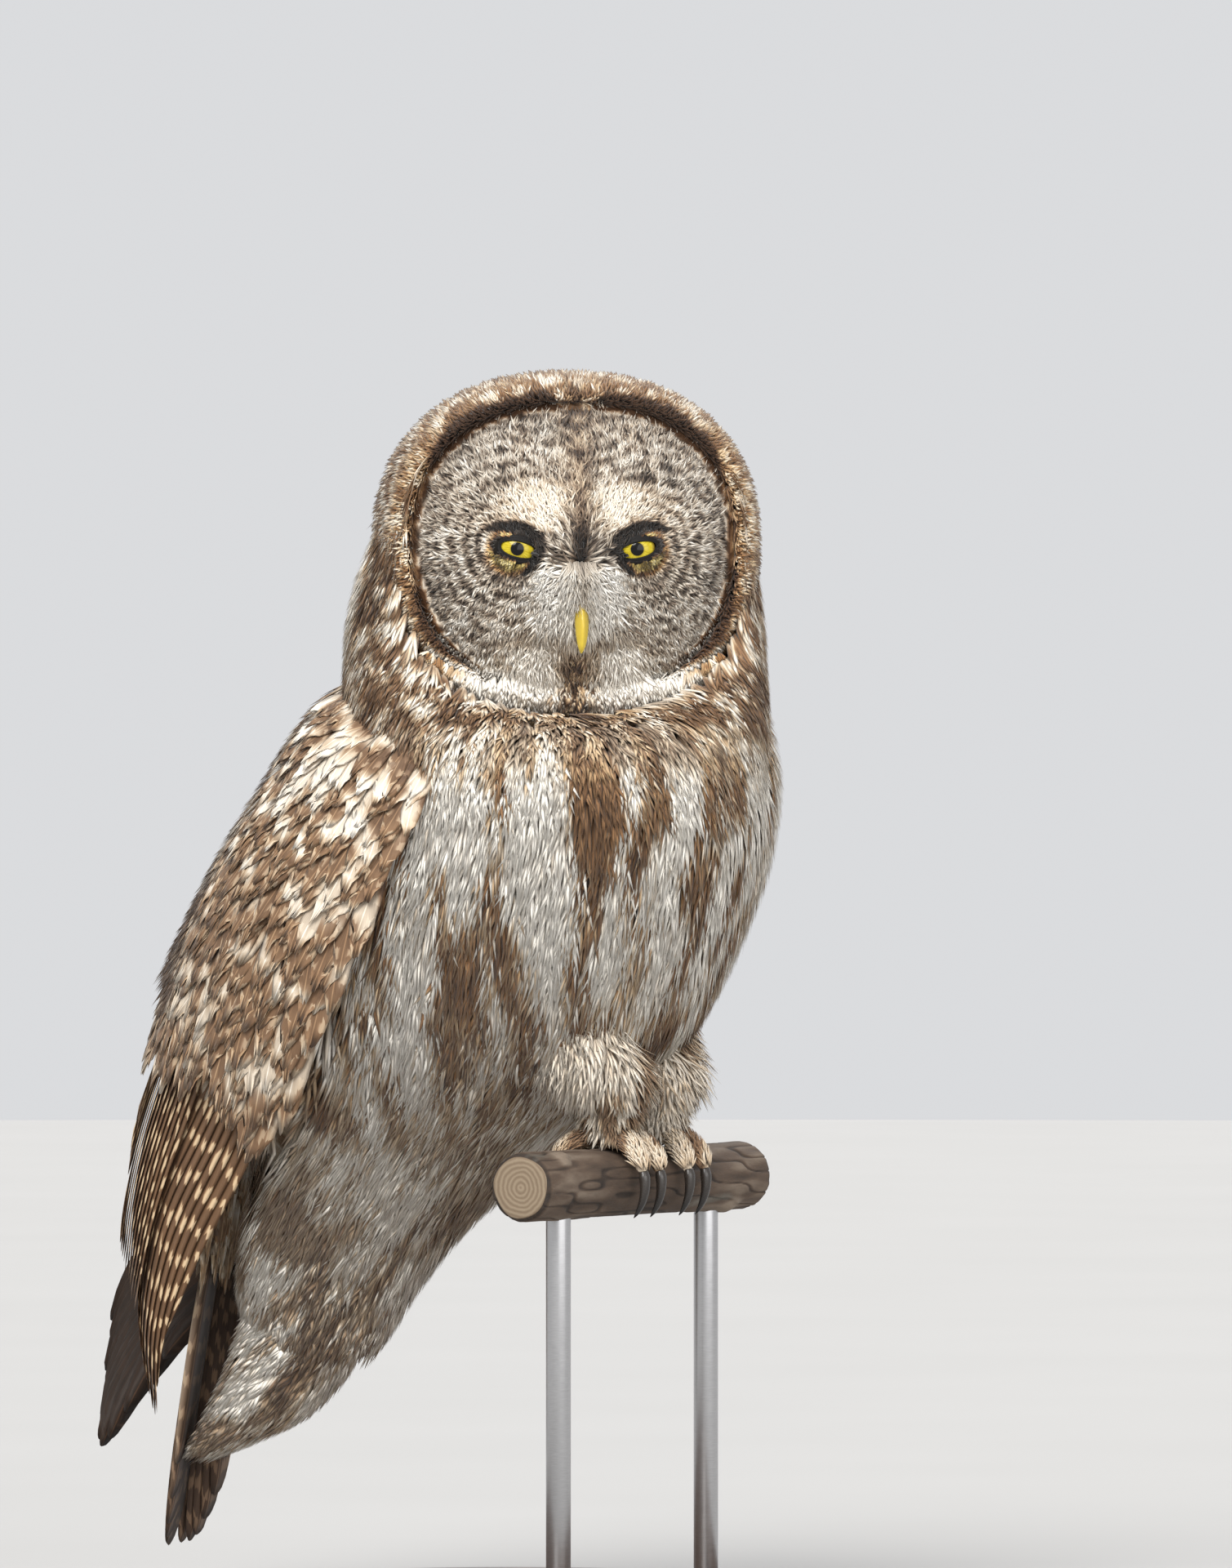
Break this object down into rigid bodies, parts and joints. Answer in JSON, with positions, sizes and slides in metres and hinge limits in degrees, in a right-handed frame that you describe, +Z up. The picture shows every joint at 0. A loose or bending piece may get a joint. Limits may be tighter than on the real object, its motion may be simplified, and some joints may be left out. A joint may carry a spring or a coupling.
{
  "type": "great grey owl",
  "caption": "Life-size still model of a great grey owl gripping a short cut branch, head turned over its shoulder, held on a round display stand.",
  "frame": {"origin": "centre of the underside of the stand's round base", "axes": "+Z up; the owl's breast faces -Y, so its right side is -X and its tail hangs towards +Y; its face is turned 53.5 degrees towards -X"},
  "size_m": [0.3, 0.3945, 0.612],
  "materials": {
    "face": "soft grey feathers with fine dark rings",
    "plumage": "grey-brown and white streaked body feathers",
    "wing": "brown flight feathers with pale notched bars",
    "fluff": "pale hair-like leg feathers",
    "eye": "wet gloss, yellow iris and black pupil",
    "bill": "smooth yellow horn",
    "claw": "smooth dark horn",
    "bark": "rough bark with pale sawn ends",
    "wood": "satin dark wood",
    "steel": "brushed"
  },
  "bodies": {
    "root": {"head": "face", "neck": "plumage", "torso": "plumage", "tail": "wing", "wing_right": "wing", "wing_left": "wing", "leg_right": "fluff", "leg_left": "fluff", "foot_right": "fluff", "foot_left": "fluff", "eye_right": "eye", "eye_left": "eye", "bill_upper": "bill", "bill_lower": "bill", "perch_branch": "bark", "stand_base": "wood", "stand_rod_right": "steel", "stand_rod_left": "steel", "claw_right_front_inner": "claw", "claw_right_front_middle": "claw", "claw_right_back_outer": "claw", "claw_right_back_inner": "claw", "claw_left_front_inner": "claw", "claw_left_front_middle": "claw", "claw_left_back_outer": "claw", "claw_left_back_inner": "claw"}
  },
  "joints": []
}
